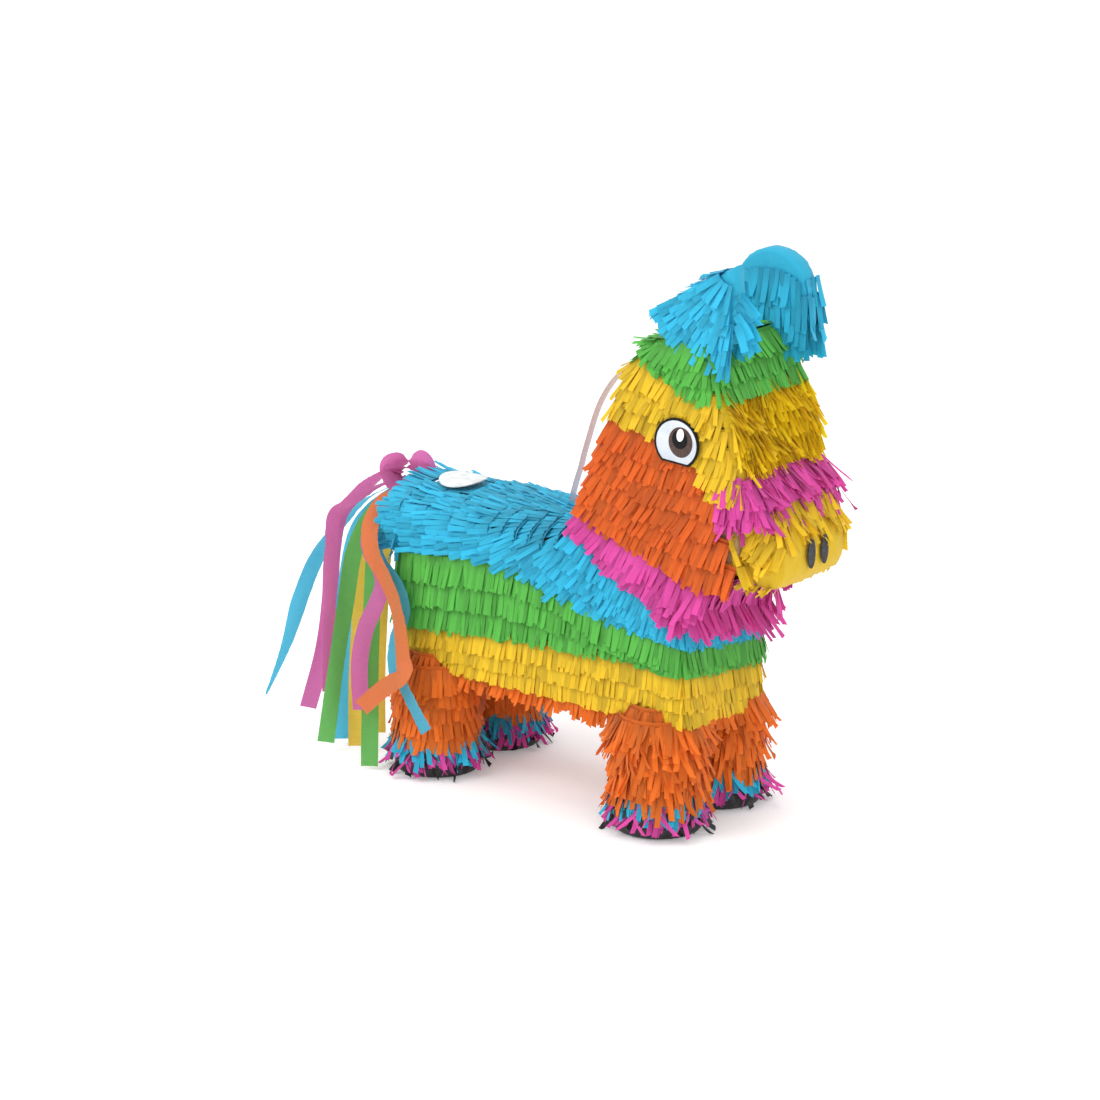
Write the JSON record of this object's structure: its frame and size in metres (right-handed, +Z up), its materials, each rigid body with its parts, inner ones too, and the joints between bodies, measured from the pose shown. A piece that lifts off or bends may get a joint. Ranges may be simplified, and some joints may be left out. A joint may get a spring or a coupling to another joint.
{
  "type": "donkey pinata",
  "caption": "Hollow card donkey covered in rows of bright fringed crepe paper, with four tube legs, folding ears, a fill flap in its back, a hanging strap and a streamer tail.",
  "frame": {"origin": "on the surface it stands on, under the middle of its bounding box", "axes": "+X the way the donkey looks, +Z up, its right flank towards -Y"},
  "size_m": [0.6226, 0.2136, 0.5142],
  "materials": {
    "cardboard": "plain brown card",
    "crepe_blue": "matt crepe paper, fine crinkle",
    "crepe_green": "matt crepe paper, fine crinkle",
    "crepe_yellow": "matt crepe paper, fine crinkle",
    "crepe_orange": "matt crepe paper, fine crinkle",
    "crepe_magenta": "matt crepe paper, fine crinkle",
    "crepe_black": "black crepe paper, crumpled",
    "eye_print": "smooth printed sticker",
    "nostril_print": "smooth printed sticker",
    "label_paper": "smooth white paper label",
    "strap_ribbon": "sheer white satin ribbon"
  },
  "bodies": {
    "body": {"side_panel_right": "cardboard", "side_panel_left": "cardboard", "rump_strip": "cardboard", "back_strip": "cardboard", "belly_strip": "cardboard", "chest_strip": "cardboard", "head_strip": "cardboard", "muzzle_box": "cardboard", "fringe_back_blue": "crepe_blue", "fringe_flank_green": "crepe_green", "fringe_flank_yellow": "crepe_yellow", "fringe_belly_orange": "crepe_orange", "fringe_collar_magenta": "crepe_magenta", "fringe_head_orange": "crepe_orange", "fringe_brow_yellow": "crepe_yellow", "fringe_crown_green": "crepe_green", "fringe_nose_magenta": "crepe_magenta", "fringe_muzzle_yellow": "crepe_yellow", "leg_tube_front_right": "cardboard", "leg_fringe_front_right": "crepe_orange", "hoof_front_right": "crepe_black", "cuff_front_right": "crepe_blue", "leg_tube_front_left": "cardboard", "leg_fringe_front_left": "crepe_orange", "hoof_front_left": "crepe_black", "cuff_front_left": "crepe_blue", "leg_tube_rear_right": "cardboard", "leg_fringe_rear_right": "crepe_orange", "hoof_rear_right": "crepe_black", "cuff_rear_right": "crepe_blue", "leg_tube_rear_left": "cardboard", "leg_fringe_rear_left": "crepe_orange", "hoof_rear_left": "crepe_black", "cuff_rear_left": "crepe_blue", "eye_sticker_right": "eye_print", "eye_sticker_left": "eye_print", "nostril_sticker_right": "nostril_print", "nostril_sticker_left": "nostril_print", "hang_strap": "strap_ribbon", "strap_toggle": "cardboard", "tail_tie": "crepe_magenta"},
    "fill_flap": {"fill_flap": "cardboard", "fringe_flap_blue": "crepe_blue", "fill_label": "label_paper"},
    "ear_right": {"ear_card_right": "cardboard", "ear_fringe_right": "crepe_blue"},
    "ear_left": {"ear_card_left": "cardboard", "ear_fringe_left": "crepe_blue"},
    "tail_knot": {"tail_knot": "crepe_magenta"},
    "tail_streamers": {"streamer_magenta_left": "crepe_magenta", "streamer_magenta_end": "crepe_magenta", "streamer_blue_long": "crepe_blue", "streamer_blue_middle": "crepe_blue", "streamer_green_left": "crepe_green", "streamer_green_right": "crepe_green", "streamer_yellow_left": "crepe_yellow", "streamer_yellow_right": "crepe_yellow", "streamer_magenta_right": "crepe_magenta", "streamer_orange": "crepe_orange", "streamer_blue_right": "crepe_blue"}
  },
  "joints": [
    {"name": "fill_flap_hinge", "type": "hinge", "parent": "body", "child": "fill_flap", "pos_m": [-0.07203, 0.04185, 0.25373], "axis": [-1, 0, 0], "range_deg": [0, 95]},
    {"name": "ear_right_crease", "type": "hinge", "parent": "body", "child": "ear_right", "pos_m": [0.22397, -0.03515, 0.444], "axis": [1, 0, 0], "range_deg": [-15, 30]},
    {"name": "ear_left_crease", "type": "hinge", "parent": "body", "child": "ear_left", "pos_m": [0.22397, 0.06485, 0.444], "axis": [-1, 0, 0], "range_deg": [-15, 30]},
    {"name": "tail_lift", "type": "hinge", "parent": "body", "child": "tail_knot", "pos_m": [-0.13203, 0.01485, 0.254], "axis": [0, 1, 0], "range_deg": [0, 60]},
    {"name": "tail_swing", "type": "hinge", "parent": "tail_knot", "child": "tail_streamers", "pos_m": [-0.13203, 0.01485, 0.254], "axis": [1, 0, 0], "range_deg": [-25, 0]}
  ]
}
